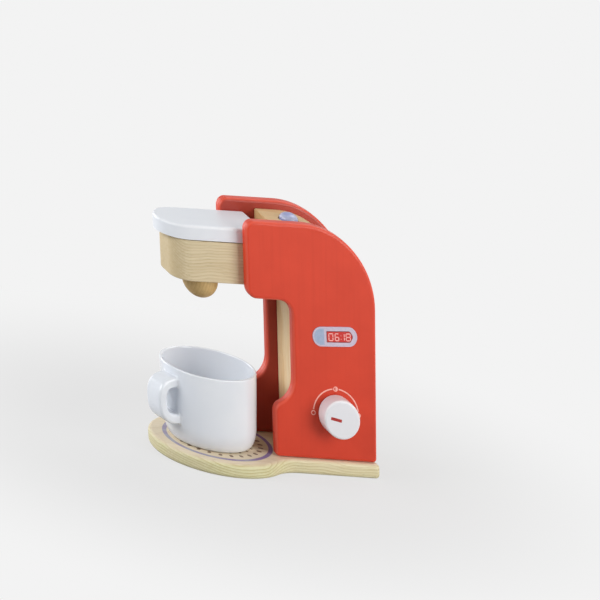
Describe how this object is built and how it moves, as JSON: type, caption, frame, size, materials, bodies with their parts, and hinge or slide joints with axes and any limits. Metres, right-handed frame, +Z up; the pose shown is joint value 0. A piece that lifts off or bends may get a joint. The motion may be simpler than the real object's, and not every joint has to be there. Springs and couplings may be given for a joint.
{
  "type": "toy coffee maker",
  "caption": "Toy coffee maker of wooden boards with a hinged lid, domed push button, turning side knob, display label, ball spout and a loose cup on a round-fronted base.",
  "frame": {"origin": "on the underside of the base board, at the centre of its round front end", "axes": "+Z up, -Y towards the front where the cup stands, +X towards the side with the knob and the display"},
  "size_m": [0.1498, 0.2523, 0.25],
  "materials": {
    "base_wood": "matt clear lacquer on pale wood",
    "red_paint": "satin orange-red paint on wood",
    "pine_wood": "matt clear lacquer on golden wood",
    "head_wood": "matt clear lacquer on tan wood",
    "spout_wood": "matt clear lacquer on turned wood",
    "lid_paint": "satin white paint on wood",
    "knob_paint": "satin white paint on wood",
    "label_film": "printed film",
    "button_paint": "blue-grey metallic paint on wood",
    "cup_plastic": "glossy white moulded plastic",
    "dowel_wood": "plain birch dowel",
    "steel": "zinc-plated steel"
  },
  "bodies": {
    "frame": {"base_board": "base_wood", "right_side_board": "red_paint", "left_side_board": "red_paint", "column_board": "pine_wood", "rear_board": "pine_wood", "top_block": "pine_wood", "brew_head": "head_wood", "spout": "spout_wood", "spout_dowel": "dowel_wood", "lid_hinge_pin": "steel", "display_label": "label_film", "button_spring": "steel", "base_screw_1": "steel", "base_screw_2": "steel", "base_screw_3": "steel", "base_screw_4": "steel", "base_screw_5": "steel", "base_screw_6": "steel", "right_dowel_1": "dowel_wood", "right_dowel_2": "dowel_wood", "right_dowel_3": "dowel_wood", "right_dowel_4": "dowel_wood", "right_dowel_5": "dowel_wood", "right_dowel_6": "dowel_wood", "right_dowel_7": "dowel_wood", "right_dowel_8": "dowel_wood", "left_dowel_1": "dowel_wood", "left_dowel_2": "dowel_wood", "left_dowel_3": "dowel_wood", "left_dowel_4": "dowel_wood", "left_dowel_5": "dowel_wood", "left_dowel_6": "dowel_wood", "left_dowel_7": "dowel_wood", "left_dowel_8": "dowel_wood"},
    "lid": {"lid": "lid_paint"},
    "knob": {"knob": "knob_paint", "knob_axle": "dowel_wood", "knob_washer": "steel", "knob_screw": "steel"},
    "button": {"push_button": "button_paint", "button_washer": "steel", "button_screw": "steel"},
    "cup": {"cup": "cup_plastic"}
  },
  "joints": [
    {"name": "lid_hinge", "type": "hinge", "parent": "frame", "child": "lid", "pos_m": [0, 0.0431, 0.2321], "axis": [-1, 0, 0], "range_deg": [0, 100]},
    {"name": "knob_turn", "type": "hinge", "parent": "frame", "child": "knob", "pos_m": [0.0425, 0.12025, 0.0635], "axis": [-1, 0, 0], "range_deg": [0, 180]},
    {"name": "button_press", "type": "slide", "parent": "frame", "child": "button", "axis": [0, 0, -1], "range_m": [0, 0.003], "stiffness_N_per_m": 600, "springref_m": -0.002, "deforming": ["button_spring"]},
    {"name": "cup_slide", "type": "slide", "parent": "frame", "child": "cup", "axis": [0, -1, 0], "range_m": [0, 0.135]}
  ]
}
